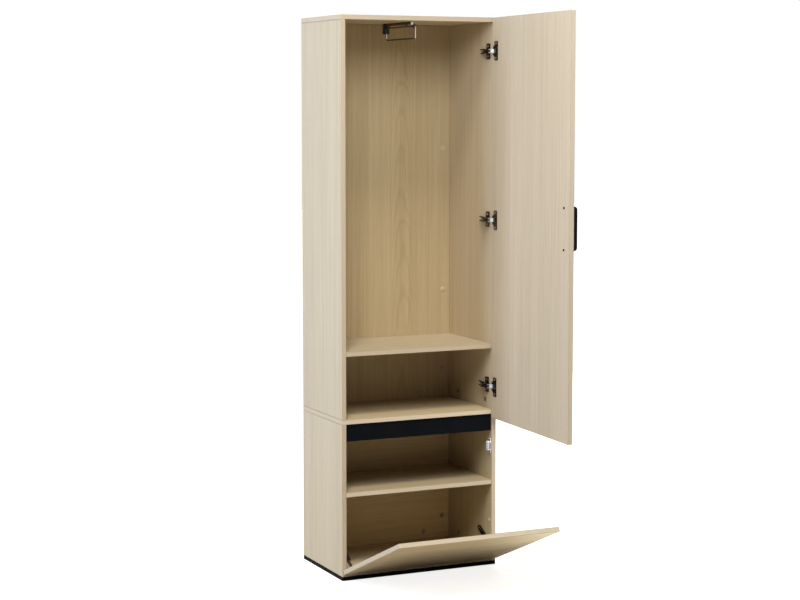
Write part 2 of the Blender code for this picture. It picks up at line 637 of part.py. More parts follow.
slot_path = [pin_in_stay(FLAP_OPEN * i / 8) for i in range(9)]
slot_mid = (min(y for x, y in slot_path) + max(y for x, y in slot_path)) / 2
for label, sign in (("left", -1), ("right", 1)):
    near, far = sorted((sign * (INNER - STAY_OFF), sign * (INNER - STAY_OFF - STAY_T)))
    bar = arc(0.0, 0.0, STAY_W, 90.0, 270.0, 8) + arc(stay_len, slot_mid, STAY_W, -90.0, 90.0, 8)
    slot = thick_line(slot_path, STAY_PIN_R + STAY_PLAY)
    upright = Matrix(((0, 0, 1, 0), (1, 0, 0, 0), (0, 1, 0, 0), (0, 0, 0, 1)))
    place = Matrix.Translation(stay_axis) @ Matrix.Rotation(stay_turn, 4, "X") @ upright
    stay = prism(bar, near, far, place)
    eye = prism(circle(0.0, 0.0, 2.1, 16), near - 2.0, far + 2.0, place)
    slot = prism(slot, near - 2.0, far + 2.0, place)
    node("stay_" + label, cut(stay, eye, slot), BRONZE, stay_axis)
    tip = sign * (INNER - STAY_OFF - STAY_T - 2.2)
    pin = rod((sign * (INNER + 8.0), *stay_head), (tip, *stay_head), STAY_PIN_R, 16)
    head = rod((sign * (INNER - STAY_OFF - STAY_T - 0.6), *stay_head), (tip, *stay_head), 4.2, 16)
    node("stay_pin_" + label, fuse(pin, head), STEEL)
    inner = sign * (INNER - STAY_OFF - STAY_T - GAP)
    outer = sign * (INNER - STAY_OFF - STAY_T - 2.0)
    a, b = sorted((inner, outer))
    lug = arc(STAY_S, -STAY_N, 4.5, 180.0, 360.0, 8) + [(STAY_S + 4.5, -GAP), (STAY_S - 4.5, -GAP)]
    lug = prism(lug, a, b)
    a, b = sorted((sign * (INNER - STAY_OFF - STAY_T - GAP), sign * (INNER - 18.0)))
    foot = box(STAY_S - 9.0, STAY_S + 16.0, -2.0, -GAP, a, b)
    bracket = fuse(foot, lug)
    peg_in = sign * (INNER - STAY_OFF - STAY_T - 1.0)
    peg = rod((STAY_S, -STAY_N, peg_in), (STAY_S, -STAY_N, sign * (INNER - 1.5)), 1.8, 16)
    bracket = fuse(bracket, peg)
    bmesh.ops.transform(bracket, matrix=flap_leaf, verts=bracket.verts)
    node("stay_bracket_" + label, bracket, BRONZE, flap_axis)

# Pull-out hanging rail under the top

along = Matrix(((1, 0, 0, 0), (0, 0, -1, 0), (0, 1, 0, 0), (0, 0, 0, 1)))
crown = TOP_Z - GAP
sill = crown - RAIL_H
track_rear = RAIL_REAR - HOUSING_LEN / 2 - GAP
lip = sill + RAIL_WALL
cheek = RAIL_HALF - RAIL_WALL
channel = [(-RAIL_HALF, sill), (-RAIL_SLOT, sill), (-RAIL_SLOT, lip), (-cheek, lip),
           (-cheek, crown - RAIL_WALL), (cheek, crown - RAIL_WALL), (cheek, lip), (RAIL_SLOT, lip),
           (RAIL_SLOT, sill), (RAIL_HALF, sill), (RAIL_HALF, crown), (-RAIL_HALF, crown)]
node("rail_track", prism(channel, -track_rear, -RAIL_FRONT, along), BRONZE)

# The housing is open below and in front, so the runner and the loop's rear leg slide out of it
housing_front = RAIL_REAR - HOUSING_LEN / 2
housing_rear = RAIL_REAR + HOUSING_LEN / 2
housing = box(-HOUSING_HALF, HOUSING_HALF, housing_front, housing_rear, crown - HOUSING_H, crown, 1.5)
slot_top = sill - RUNNER_GAP + 2.0
slot = box(-RUNNER_HALF - 1.0, RUNNER_HALF + 1.0, housing_front - 2.0, housing_rear - 4.0,
           crown - HOUSING_H - 2.0, slot_top)
node("rail_housing", cut(housing, slot), BLACK)

block_front = LOOP_FRONT + LOOP_BEND + 0.5
block_rear = block_front + 10.5
bar_top = sill - RUNNER_GAP
bar_low = bar_top - RUNNER_H
bar_mid = (bar_top + bar_low) / 2
runner = box(-RUNNER_HALF, RUNNER_HALF, block_rear + GAP, RAIL_REAR - 1.0, bar_low, bar_top, 0.6)
for glide in (RAIL_FRONT + 36.0, track_rear - GLIDE_LEN - 8.0):
    stem = box(0.5 - RAIL_SLOT, RAIL_SLOT - 0.5, glide, glide + GLIDE_LEN, bar_top - 1.0, lip + 2.0)
    head = box(0.6 - cheek, cheek - 0.6, glide, glide + GLIDE_LEN, lip + 0.5, crown - RAIL_WALL - 0.7)
    runner = fuse(runner, fuse(stem, head))
loop_rear = RAIL_REAR - 4.5
hole = rod((0.0, loop_rear, bar_low - 5.0), (0.0, loop_rear, bar_top - 0.9), LOOP_R + GAP, 16)
node("rail_runner", cut(runner, hole), BRONZE)

block = box(-5.0, 5.0, block_front, block_rear, bar_mid - 5.0, bar_mid + 5.0, 1.0)
hole = rod((0.0, block_front - 5.0, bar_mid), (0.0, block_front + 7.0, bar_mid), LOOP_R + GAP, 16)
node("rail_block", cut(block, hole), BLACK)


def bent_rod(points, radius, bend, count, steps):
    """A round bar through corner points in the YZ plane, with round bends."""
    path = [Vector(points[0])]
    for before, corner, after in zip(points, points[1:], points[2:]):
        corner = Vector(corner)
        into = (corner - Vector(before)).normalized()
        out = (Vector(after) - corner).normalized()
        centre = corner + (out - into) * bend
        for i in range(steps + 1):
            t = math.pi / 2 * i / steps
            path.append(centre - out * bend * math.cos(t) + into * bend * math.sin(t))
    path.append(Vector(points[-1]))
    bm = bmesh.new()
    rings = []
    for i, spot in enumerate(path):
        ahead = (path[min(i + 1, len(path) - 1)] - path[max(i - 1, 0)]).normalized()
        across = Vector((1.0, 0.0, 0.0))
        rise = across.cross(ahead)
        rings.append([bm.verts.new(spot + radius * (across * math.cos(a) + rise * math.sin(a)))
                      for a in (2 * math.pi * k / count for k in range(count))])
    for low_ring, high_ring in zip(rings, rings[1:]):
        for k in range(count):
            j = (k + 1) % count
            bm.faces.new((low_ring[k], low_ring[j], high_ring[j], high_ring[k]))
    bm.faces.new(rings[0][::-1])
    bm.faces.new(rings[-1])
    return bm


corners = [(0.0, block_front + 6.4, bar_mid), (0.0, LOOP_FRONT, bar_mid), (0.0, LOOP_FRONT, LOOP_Z),
           (0.0, loop_rear, LOOP_Z), (0.0, loop_rear, bar_top - 1.4)]
node("hanger_loop", bent_rod(corners, LOOP_R, LOOP_BEND, 12, 4), STEEL)
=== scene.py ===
import math

import bmesh
import bpy
from mathutils import Euler, Matrix, Vector


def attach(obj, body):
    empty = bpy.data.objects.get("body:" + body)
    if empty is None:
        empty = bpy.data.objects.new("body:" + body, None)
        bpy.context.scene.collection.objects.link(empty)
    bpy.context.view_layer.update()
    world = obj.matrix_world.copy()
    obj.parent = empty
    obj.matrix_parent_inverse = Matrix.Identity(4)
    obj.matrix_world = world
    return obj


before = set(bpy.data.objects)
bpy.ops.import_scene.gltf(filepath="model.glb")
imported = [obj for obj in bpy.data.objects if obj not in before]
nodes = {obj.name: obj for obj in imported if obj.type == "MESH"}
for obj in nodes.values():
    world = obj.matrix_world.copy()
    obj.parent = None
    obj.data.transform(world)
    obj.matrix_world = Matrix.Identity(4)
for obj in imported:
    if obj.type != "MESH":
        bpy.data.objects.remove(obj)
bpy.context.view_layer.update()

MM = 0.001
X, Y, Z = AXES = (0, 1, 2)

# Layout of the solids, in millimetres
SIDE = 278.5
FRONT = -168.5
BOARD = 15.0
INNER = SIDE - BOARD
BACK_FACE = 153.5
MID_Z = 511.0
MID_TOP = 526.0
TOP_Z = 1805.0
FLOOR_Z = 28.3
REVEAL = 1.0
DOOR_GAP = 2.0
DOOR_OPEN = math.radians(87.5)
FLAP_OPEN = math.radians(67.3)
FLAP_BASE = 20.2
ARM = (34.5, 7.7)
CUP = (REVEAL + 11.5, DOOR_GAP + 6.5)
LINK_RATIO = 0.4037
DOOR_HINGE_Z = (606.0, 1158.5, 1711.0)
FLAP_HINGE_X = (-130.0, 130.0)

# Frames whose third axis, along which an outline is drawn out, is X or Y
ALONG_X = Matrix(((0, 0, 1, 0), (1, 0, 0, 0), (0, 1, 0, 0), (0, 0, 0, 1)))
ALONG_Y = Matrix(((1, 0, 0, 0), (0, 0, 1, 0), (0, 1, 0, 0), (0, 0, 0, 1)))


# Hinge frames: u runs from the hinged edge into the opening, v towards the room.
# In the open leaf's own frame, p runs along the leaf and q through it.

def turned(point, centre, angle):
    du = point[0] - centre[0]
    dv = point[1] - centre[1]
    c = math.cos(angle)
    s = math.sin(angle)
    return (centre[0] + du * c - dv * s, centre[1] + du * s + dv * c)


def leaf_point(p, q, angle):
    pivot = turned(CUP, ARM, -LINK_RATIO * angle)
    moved = turned((REVEAL + p, DOOR_GAP + q), CUP, angle)
    return (moved[0] + pivot[0] - CUP[0], moved[1] + pivot[1] - CUP[1])


def door_frame(height):
    return Matrix(((-1, 0, 0, SIDE), (0, -1, 0, FRONT), (0, 0, 1, height), (0, 0, 0, 1)))


def flap_frame(across):
    return Matrix(((0, 0, 1, across), (0, -1, 0, FRONT), (1, 0, 0, FLAP_BASE), (0, 0, 0, 1)))


def leaf_frame(base, angle):
    u0, v0 = leaf_point(0.0, 0.0, angle)
    c = math.cos(angle)
    s = math.sin(angle)
    return base @ Matrix(((c, -s, 0, u0), (s, c, 0, v0), (0, 0, 1, 0), (0, 0, 0, 1)))


# Node materials

class Graph:
    """Small helper for building a node tree."""

    def __init__(self, name):
        self.mat = bpy.data.materials.new(name)
        self.mat.use_nodes = True
        self.tree = self.mat.node_tree
        self.shader = self.tree.nodes["Principled BSDF"]

    def add(self, kind, **values):
        made = self.tree.nodes.new(kind)
        for key, value in values.items():
            setattr(made, key, value)
        return made

    def link(self, source, target):
        self.tree.links.new(source, target)

    def put(self, target, value):
        if isinstance(value, bpy.types.NodeSocket):
            self.link(value, target)
        else:
            target.default_value = value

    def math(self, operation, a, b=0.0, c=0.0):
        made = self.add("ShaderNodeMath", operation=operation)
        for socket, value in zip(made.inputs, (a, b, c)):
            self.put(socket, value)
        return made.outputs[0]

    def span(self, value, low, high, to_low=0.0, to_high=1.0):
        made = self.add("ShaderNodeMapRange")
        for key, item in (("Value", value), ("From Min", low), ("From Max", high),
                          ("To Min", to_low), ("To Max", to_high)):
            self.put(made.inputs[key], item)
        return made.outputs["Result"]

    def mix(self, factor, first, second):
        made = self.add("ShaderNodeMix", data_type="RGBA")
        self.put(made.inputs["Factor"], factor)
        for key, colour in (("A", first), ("B", second)):
            is_socket = isinstance(colour, bpy.types.NodeSocket)
            self.put(made.inputs[key], colour if is_socket else (*colour, 1.0))
        return made.outputs["Result"]

    def stretch(self, vector, scale, shift):
        made = self.add("ShaderNodeMapping")
        self.put(made.inputs["Vector"], vector)
        made.inputs["Scale"].default_value = scale
        made.inputs["Location"].default_value = shift
        return made.outputs["Vector"]

    def noise(self, vector, scale=1.0, detail=2.0, rough=0.5, distortion=0.0):
        made = self.add("ShaderNodeTexNoise")
        self.put(made.inputs["Vector"], vector)
        made.inputs["Scale"].default_value = scale
        made.inputs["Detail"].default_value = detail
        made.inputs["Roughness"].default_value = rough
        made.inputs["Distortion"].default_value = distortion
        return made.outputs["Fac"]

    def bump(self, height, strength, distance):
        made = self.add("ShaderNodeBump")
        self.put(made.inputs["Height"], height)
        made.inputs["Strength"].default_value = strength
        made.inputs["Distance"].default_value = distance
        self.link(made.outputs["Normal"], self.shader.inputs["Normal"])


def set_shader(graph, **values):
    for key, value in values.items():
        graph.put(graph.shader.inputs[key.replace("_", " ")], value)


def grain_scale(cells, grain):
    """Noise cells per metre along X, Y and Z, from those across and along the grain."""
    across, along = cells
    return [along if axis == grain else across for axis in AXES]


NO_TURN = (0.0, 0.0, 0.0)
DOOR_TURN = (0.0, 0.0, -DOOR_OPEN)
FLAP_TURN = (-FLAP_OPEN, 0.0, 0.0)
SAME_SCALE = (1.0, 1.0, 1.0)

# Parts of a noise's or a normal's range that are spread over 0 to 1
WIDE = (0.3, 0.7)
NARROW = (0.35, 0.65)
SQUARE_ON = (0.50, 0.60)

# Laminate colours, and tints that multiply them; the tints paint light and shade on single boards
PALE = (0.625, 0.523, 0.384)
STREAK = (0.495, 0.398, 0.268)
PORE = (0.320, 0.235, 0.135)
EDGE = (0.565, 0.480, 0.372)
# Lighter copies of the edge colour, which paint light on the edges of the lower boards, the door and the
# flap
LOW_EDGE_LIT = (0.710, 0.620, 0.505)
DOOR_EDGE_LIT = (0.650, 0.575, 0.485)
FLAP_EDGE_LIT = (0.68, 0.59, 0.47)
END = (0.560, 0.465, 0.345)
SEAM = (0.400, 0.275, 0.145)
PLAIN = (1.0, 1.0, 1.0)
# INSIDE_SHADE paints shade: a darker, yellower copy of the laminate for the inside boards
INSIDE_SHADE = (0.86, 0.85, 0.76)

# Laminate grain: noise cells per metre across and along it, and the weight of each layer
FIBRE_CELLS = (900.0, 9.0)
STREAK_CELLS = (150.0, 1.6)
BAND_CELLS = (22.0, 0.5)
PORE_CELLS = (1700.0, 45.0)
SWAY_CELLS = (3.0, 3.0, 3.0)
FIBRE_WEIGHT = 0.40
STREAK_WEIGHT = 0.38
BAND_WEIGHT = 0.22
PORE_WEIGHT = 0.40
TONE_RANGE = (0.36, 0.64)
PORE_RANGE = (0.63, 0.78)
SHADED_RIM = 0.90

# Arched figure of the backs: rings about a line that sways, fading out beside it (metres)
SWAY = 0.09
ARCH_CURVE = 900.0
RING_RISE = 5.2
RING_SWAY = 4.0
RING_TURNS = 9.0
RING_CREST = (0.1, 1.0)
FIGURE_FADE = (0.03, 0.11)

# Glue lines: full up to the first distance from a border, gone at the second (metres)
FACE_SEAM = (0.0010, 0.0022)
BAND_SEAM = (0.0008, 0.0018)
SEAM_WEIGHT = 0.50

# Gloss and relief of the laminate
LAMINATE_ROUGH = (0.50, 0.40)
PORE_ROUGH = 0.12
FIBRE_HEIGHT = 0.5
PORE_HEIGHT = 0.7


def laminate(name, board, grain, face, seed, turn=NO_TURN, painted_light_tint=PLAIN, figure=0.0, centre=0.0,
             rim=EDGE, ends=None):
    """Fine-grained pale wood laminate; grain and face are axes of the board's own frame."""
    g = Graph(name)
    place = g.add("ShaderNodeTexCoord")
    local = g.add("ShaderNodeMapping")
    local.inputs["Rotation"].default_value = turn
    g.link(place.outputs["Object"], local.inputs["Vector"])
    local = local.outputs["Vector"]
    normal = g.add("ShaderNodeMapping", vector_type="VECTOR")
    normal.inputs["Rotation"].default_value = turn
    g.link(place.outputs["Normal"], normal.inputs["Vector"])

    def grained(cells, extra):
        shift = (seed + extra, seed * 0.7 + extra, seed * 1.3 - extra)
        return g.stretch(local, grain_scale(cells, grain), shift)

    sway = g.noise(g.stretch(local, SWAY_CELLS, (seed, 0.0, seed)))
    fibre = g.noise(grained(FIBRE_CELLS, 0.0), detail=3.0, rough=0.62)
    streak = g.noise(grained(STREAK_CELLS, 5.0), detail=3.0, rough=0.6, distortion=0.3)
    band = g.noise(grained(BAND_CELLS, 9.0), distortion=0.4)
    tone = g.math("MULTIPLY_ADD", fibre, FIBRE_WEIGHT, g.math("MULTIPLY", streak, STREAK_WEIGHT))
    tone = g.math("MULTIPLY_ADD", band, BAND_WEIGHT, tone)
    tone = g.span(tone, *TONE_RANGE)

    if figure:
        split = g.add("ShaderNodeSeparateXYZ")
        g.link(local, split.inputs[0])
        across = [axis for axis in AXES if axis not in (grain, face)][0]
        swayed = g.math("MULTIPLY_ADD", sway, SWAY, -SWAY / 2 - centre)
        offset = g.math("ADD", split.outputs[across], swayed)
        arch = g.math("MULTIPLY", g.math("MULTIPLY", offset, offset), ARCH_CURVE)
        rings = g.math("MULTIPLY_ADD", split.outputs[grain], RING_RISE, arch)
        rings = g.math("ADD", rings, g.math("MULTIPLY", sway, RING_SWAY))
        wave = g.math("SINE", g.math("MULTIPLY", rings, RING_TURNS))
        wave = g.span(wave, *RING_CREST)
        near = g.span(g.math("ABSOLUTE", offset), *FIGURE_FADE, 1.0, 0.0)
        shade = g.math("MULTIPLY", g.math("MULTIPLY", wave, near), figure)
        tone = g.math("SUBTRACT", tone, shade)

    pores = g.span(g.noise(grained(PORE_CELLS, 3.0), detail=1.0), *PORE_RANGE)
    # painted_light_tint paints light and shade: above 1 a lit copy of the laminate, below 1 a shaded copy
    streak_tone, pale_tone, pore_tone = [tuple(a * b for a, b in zip(painted_light_tint, c))
                                         for c in (STREAK, PALE, PORE)]
    colour = g.mix(tone, streak_tone, pale_tone)
    colour = g.mix(g.math("MULTIPLY", pores, PORE_WEIGHT), colour, pore_tone)

    # Edge bands, and the ends where the grain is cut across
    split = g.add("ShaderNodeSeparateXYZ")
    g.link(normal.outputs["Vector"], split.inputs[0])
    edge = g.span(g.math("ABSOLUTE", split.outputs[face]), *reversed(SQUARE_ON))
    end_on = g.span(g.math("ABSOLUTE", split.outputs[grain]), *SQUARE_ON)
    # A rim lighter than EDGE paints light on that board's edge bands
    band_colour = g.mix(g.span(fibre, *WIDE), tuple(SHADED_RIM * c for c in rim), rim)
    band_colour = g.mix(end_on, band_colour, ends or rim)
    colour = g.mix(edge, colour, band_colour)

    # A thin glue line follows the border of each face and of each edge band
    spun = Euler(turn).to_matrix()
    reach = [[(spun @ v.co)[axis] for v in board.data.vertices] for axis in AXES]
    spot = g.add("ShaderNodeSeparateXYZ")
    g.link(local, spot.inputs[0])
    margin = [g.math("MINIMUM", g.math("SUBTRACT", spot.outputs[axis], min(reach[axis])),
                     g.math("SUBTRACT", max(reach[axis]), spot.outputs[axis])) for axis in AXES]
    first, second = [margin[axis] for axis in AXES if axis != face]
    on_face = g.math("MULTIPLY", g.span(g.math("MINIMUM", first, second), *FACE_SEAM, 1.0, 0.0),
                     g.math("SUBTRACT", 1.0, edge))
    on_band = g.math("MULTIPLY", g.span(margin[face], *BAND_SEAM, 1.0, 0.0), edge)
    colour = g.mix(g.math("MULTIPLY", g.math("ADD", on_face, on_band), SEAM_WEIGHT), colour, SEAM)

    rough = g.span(streak, *WIDE, *LAMINATE_ROUGH)
    rough = g.math("ADD", rough, g.math("MULTIPLY", pores, PORE_ROUGH))
    set_shader(g, Base_Color=colour, Roughness=rough, IOR=1.46, Specular_IOR_Level=0.09)
    height = g.math("SUBTRACT", g.math("MULTIPLY", fibre, FIBRE_HEIGHT),
                    g.math("MULTIPLY", pores, PORE_HEIGHT))
    g.bump(height, strength=0.22, distance=0.0004)
    return g.mat


PRESSED_CELLS = (700.0, 12.0)


def dark_board(name, first, second, grain, seed):
    """Near-black laminate with a faint pressed grain."""
    g = Graph(name)
    place = g.add("ShaderNodeTexCoord").outputs["Object"]
    pressed = g.stretch(place, grain_scale(PRESSED_CELLS, grain), (seed, seed, seed))
    fibre = g.noise(pressed, detail=3.0, rough=0.6)
    cloud = g.noise(place, scale=14.0, detail=3.0)
    tone = g.math("MULTIPLY_ADD", cloud, 0.5, g.math("MULTIPLY", fibre, 0.5))
    set_shader(g, Base_Color=g.mix(g.span(tone, *NARROW), first, second),
               Roughness=g.span(fibre, *WIDE, 0.46, 0.60), IOR=1.45, Specular_IOR_Level=0.05)
    g.bump(fibre, strength=0.25, distance=0.0003)
    return g.mat


def rough_span(rough):
    """The roughness of the glossiest and the dullest spots of a surface."""
    return rough - 0.06, rough + 0.08


def metal(name, first, second, rough, seed, scale=220.0, strength=0.08):
    """Plated or burnished metal: slightly mottled, with fine wear in the gloss."""
    g = Graph(name)
    place = g.add("ShaderNodeTexCoord").outputs["Object"]
    cloud = g.noise(g.stretch(place, SAME_SCALE, (seed, seed, seed)), scale, detail=4.0, rough=0.6)
    fine = g.noise(place, scale * 9.0)
    wear = g.math("MULTIPLY_ADD", fine, 0.4, g.math("MULTIPLY", cloud, 0.6))
    set_shader(g, Base_Color=g.mix(g.span(cloud, *NARROW), first, second),
               Roughness=g.span(wear, *NARROW, *rough_span(rough)), Metallic=1.0)
    g.bump(fine, strength, distance=0.00006)
    return g.mat


def coated(name, first, second, rough, seed, grain=900.0, strength=0.2, sheen=0.5):
    """Moulded plastic or powder coat with a fine skin."""
    g = Graph(name)
    place = g.add("ShaderNodeTexCoord").outputs["Object"]
    skin = g.noise(g.stretch(place, SAME_SCALE, (seed, seed, seed)), grain, detail=3.0, rough=0.6)
    cloud = g.noise(place, grain * 0.05, detail=3.0)
    set_shader(g, Base_Color=g.mix(g.span(cloud, *NARROW), first, second),
               Roughness=g.span(skin, *WIDE, *rough_span(rough)), IOR=1.48, Specular_IOR_Level=sheen)
    g.bump(skin, strength, distance=0.00012)
    return g.mat


# The tints paint shade on the inside boards, shelves, upper back, door and flap, and light on the lower
# back; the lit rims paint light on their edges
boards = {
    "side_upper_left": dict(grain=Z, face=X, seed=1.3),
    "side_upper_right": dict(grain=Z, face=X, seed=4.1),
    "side_lower_left": dict(grain=Z, face=X, seed=7.7),
    "side_lower_right": dict(grain=Z, face=X, seed=2.9, painted_light_tint=INSIDE_SHADE, rim=LOW_EDGE_LIT),
    "back_upper": dict(grain=Z, face=Y, seed=6.3, painted_light_tint=(0.865, 0.835, 0.735), figure=0.30, centre=0.08),
    "back_lower": dict(grain=X, face=Y, seed=3.7, painted_light_tint=(1.08, 1.04, 0.895), figure=0.30, centre=0.20),
    "top_panel": dict(grain=X, face=Z, seed=8.2, ends=END),
    "bottom_panel": dict(grain=X, face=Z, seed=9.4),
    "mid_panel": dict(grain=X, face=Z, seed=5.6, painted_light_tint=INSIDE_SHADE, rim=LOW_EDGE_LIT, ends=END),
    "shelf_upper": dict(grain=X, face=Z, seed=11.8, painted_light_tint=(0.77, 0.79, 0.80)),
    "shelf_lower": dict(grain=X, face=Z, seed=12.6, painted_light_tint=(0.72, 0.71, 0.66), rim=LOW_EDGE_LIT),
    "door_panel": dict(grain=Z, face=Y, seed=14.9, turn=DOOR_TURN, painted_light_tint=(0.94, 0.925, 0.928),
                       rim=DOOR_EDGE_LIT),
    "flap_panel": dict(grain=X, face=Y, seed=16.4, turn=FLAP_TURN, painted_light_tint=(1.0, 0.975, 0.885),
                       rim=FLAP_EDGE_LIT, ends=END),
}
for board, spec in boards.items():
    nodes[board].material_slots[0].material = laminate("laminate_" + board, nodes[board], **spec)

BLACK_BOARD = dark_board("black_laminate", (0.0022, 0.0030, 0.0046), (0.0050, 0.0064, 0.0092), X, 2.0)
BRONZE = metal("burnished_steel", (0.046, 0.035, 0.027), (0.098, 0.076, 0.058), 0.34, 3.0)
SCREW = metal("screw_steel", (0.300, 0.262, 0.235), (0.420, 0.375, 0.345), 0.34, 13.0)
LINK = metal("link_nickel", (0.40, 0.40, 0.42), (0.54, 0.54, 0.56), 0.34, 15.0)
BRIGHT = metal("nickel_plate", (0.70, 0.70, 0.71), (0.84, 0.84, 0.85), 0.22, 5.0)
CHROME = metal("chrome_rod", (0.48, 0.48, 0.48), (0.60, 0.60, 0.60), 0.12, 7.0, 120.0, 0.03)
ZINC = metal("zinc_cast", (0.36, 0.36, 0.37), (0.52, 0.52, 0.54), 0.42, 9.0, 400.0, 0.25)
# A darker, browner copy of the zinc, which paints the shade of the bores on the cams
CAM_ZINC_SHADED = metal("zinc_with_painted_shade", (0.230, 0.192, 0.145), (0.335, 0.288, 0.225), 0.46, 17.0, 400.0, 0.25)
DARK_STEEL = metal("dark_track_steel", (0.10, 0.09, 0.085), (0.17, 0.155, 0.145), 0.34, 11.0)
POWDER = coated("black_powder_coat", (0.0030, 0.0030, 0.0036), (0.0062, 0.0062, 0.0070), 0.52, 4.0,
                sheen=0.08)
BLACK_PLASTIC = coated("black_moulding", (0.0120, 0.0120, 0.0130), (0.0210, 0.0210, 0.0225), 0.38, 8.0,
                       700.0)
WHITE_PLASTIC = coated("white_moulding", (0.86, 0.88, 0.91), (0.91, 0.93, 0.95), 0.36, 6.0, 500.0, 0.12)
CAP_PLASTIC = coated("beige_cap_moulding", (0.66, 0.60, 0.50), (0.74, 0.68, 0.57), 0.45, 12.0, 600.0, 0.15)
CLEAR_PLASTIC = coated("clear_pad", (0.50, 0.435, 0.37), (0.56, 0.49, 0.42), 0.40, 18.0, 600.0, 0.12,
                       sheen=0.3)
WOOD_PLASTIC = coated("wood_tone_moulding", (0.49, 0.40, 0.27), (0.56, 0.465, 0.325), 0.45, 16.0, 600.0,
                      0.15)
# A very dark raw board colour, which paints the shade inside the spare pin holes
RAW_BOARD_SHADE = coated("raw_board_hole_shade", (0.070, 0.045, 0.022), (0.120, 0.080, 0.042), 0.8, 14.0, 1400.0, 0.4)
GREY_PLASTIC = coated("grey_blue_moulding", (0.19, 0.27, 0.41), (0.26, 0.35, 0.49), 0.40, 10.0, 500.0,
                      0.12)


def numbered(count, *kinds):
    return ["%s_%d" % (kind, n) for kind in kinds for n in range(1, count + 1)]


finishes = {
    BLACK_BOARD: ["base_board", "grip_strip"],
    BRONZE: numbered(3, "hinge_plate", "hinge_arm", "door_cup")
    + numbered(2, "flap_plate", "flap_arm", "flap_cup")
    + ["stay_left", "stay_right", "stay_bracket_left", "stay_bracket_right"],
    LINK: numbered(3, "door_link") + numbered(2, "flap_link"),
    BRIGHT: ["shelf_pin_%s_%s" % (s, e) for s in ("left", "right") for e in ("front", "rear")]
    + ["stay_pin_left", "stay_pin_right", "catch_strike"],
    ZINC: ["catch_magnet"],
    CHROME: ["hanger_loop"],
    DARK_STEEL: ["rail_track", "rail_runner"],
    POWDER: ["door_handle"],
    BLACK_PLASTIC: ["rail_housing", "rail_block"],
    WHITE_PLASTIC: ["catch_body"],
    CAP_PLASTIC: ["side_cap"],
    CLEAR_PLASTIC: ["door_pad"],
}
for finish, names in finishes.items():
    for name in names:
        nodes[name].material_slots[0].material = finish


# Detail pieces, drawn in millimetres of the common frame

def piece(name, bm, finish, body):
    bmesh.ops.recalc_face_normals(bm, faces=bm.faces)
    bmesh.ops.transform(bm, matrix=Matrix.Scale(MM, 4), verts=bm.verts)
    mesh = bpy.data.meshes.new(name)
    bm.to_mesh(mesh)
    bm.free()
    obj = bpy.data.objects.new(name, mesh)
    bpy.context.scene.collection.objects.link(obj)
    mesh.materials.append(finish)
    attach(obj, body)


def facing(spot, normal):
    """A frame at a point whose Z axis is the given direction."""
    return Matrix.Translation(spot) @ Vector(normal).to_track_quat("Z", "Y").to_matrix().to_4x4()


def ring(bm, at, radius, height, count):
    turn = 2 * math.pi / count
    return [bm.verts.new(at @ Vector((radius * math.cos(turn * i), radius * math.sin(turn * i), height)))
            for i in range(count)]


def bridge(bm, first, second):
    count = len(first)
    for i in range(count):
        j = (i + 1) % count
        bm.faces.new((first[i], first[j], second[j], second[i]))


def skin(bm, rings):
    """A tube through rings of vertices, without its ends."""
    for first, second in zip(rings, rings[1:]):
        bridge(bm, first, second)


def lathe(bm, at, profile, count=28):
    """A turned solid from (radius, height) pairs, closed by flat ends."""
    rings = [ring(bm, at, radius, height, count) for radius, height in profile]
    skin(bm, rings)
    bm.faces.new(rings[0][::-1])
    bm.faces.new(rings[-1])


def cross_outline(reach, half):
    corners = [(reach, -half), (reach, half), (half, half), (half, reach),
               (-half, reach), (-half, half), (-reach, half), (-reach, -half),
               (-half, -half), (-half, -reach), (half, -reach), (half, -half)]
    outline = []
    for a, b in zip(corners, corners[1:] + corners[:1]):
        outline += [a, ((a[0] + b[0]) / 2, (a[1] + b[1]) / 2)]
    return outline


RECESS_TAPER = 0.72


def cross_head(bm, at, profile, reach, half, depth):
    """A turned head with a tapered cross recess in its last ring."""
    outline = cross_outline(reach, half)
    count = len(outline)
    start = math.atan2(-half, reach)
    spun = at @ Matrix.Rotation(start, 4, "Z")
    rings = [ring(bm, spun, radius, height, count) for radius, height in profile]
    top = profile[-1][1]
    mouth = [bm.verts.new(at @ Vector((a, b, top))) for a, b in outline]
    bottom = [bm.verts.new(at @ Vector((RECESS_TAPER * a, RECESS_TAPER * b, top - depth)))
              for a, b in outline]
    rings += [mouth, bottom]
    skin(bm, rings)
    bm.faces.new(rings[0][::-1])
    bm.faces.new(bottom)


def slab(bm, at, points, low, high, edge):
    """A closed outline drawn out along the third axis of a frame, with softened edges.

    Turned forms of the same mesh are made first: after a bevel, the order in which new faces
    are stored can differ from run to run.
    """
    under = [bm.verts.new(at @ Vector((a, b, low))) for a, b in points]
    over = [bm.verts.new(at @ Vector((a, b, high))) for a, b in points]
    caps = [bm.faces.new(under[::-1]), bm.faces.new(over)]
    bridge(bm, under, over)
    rims = [e for cap in caps for e in cap.edges]
    bmesh.ops.bevel(bm, geom=rims, offset=edge, segments=2, affect="EDGES", clamp_overlap=True)


def block(x0, x1, y0, y1):
    return [(x0, y0), (x1, y0), (x1, y1), (x0, y1)]


def arc(start, end, steps):
    """Angles in even steps, both ends included."""
    return [start + (end - start) * i / steps for i in range(steps + 1)]


def screw(bm, at, radius, height):
    """A pan head with a cross recess; its rim starts just below the surface."""
    profile = [(radius, -0.3), (radius, 0.45 * height), (0.86 * radius, 0.82 * height),
               (0.68 * radius, height)]
    cross_head(bm, at, profile, 0.52 * radius, 0.13 * radius, 0.75 * height)


# Cup hinges: screws, arm rails, cup edge plates and cup linings.
# A screw head is given by its radius and height.

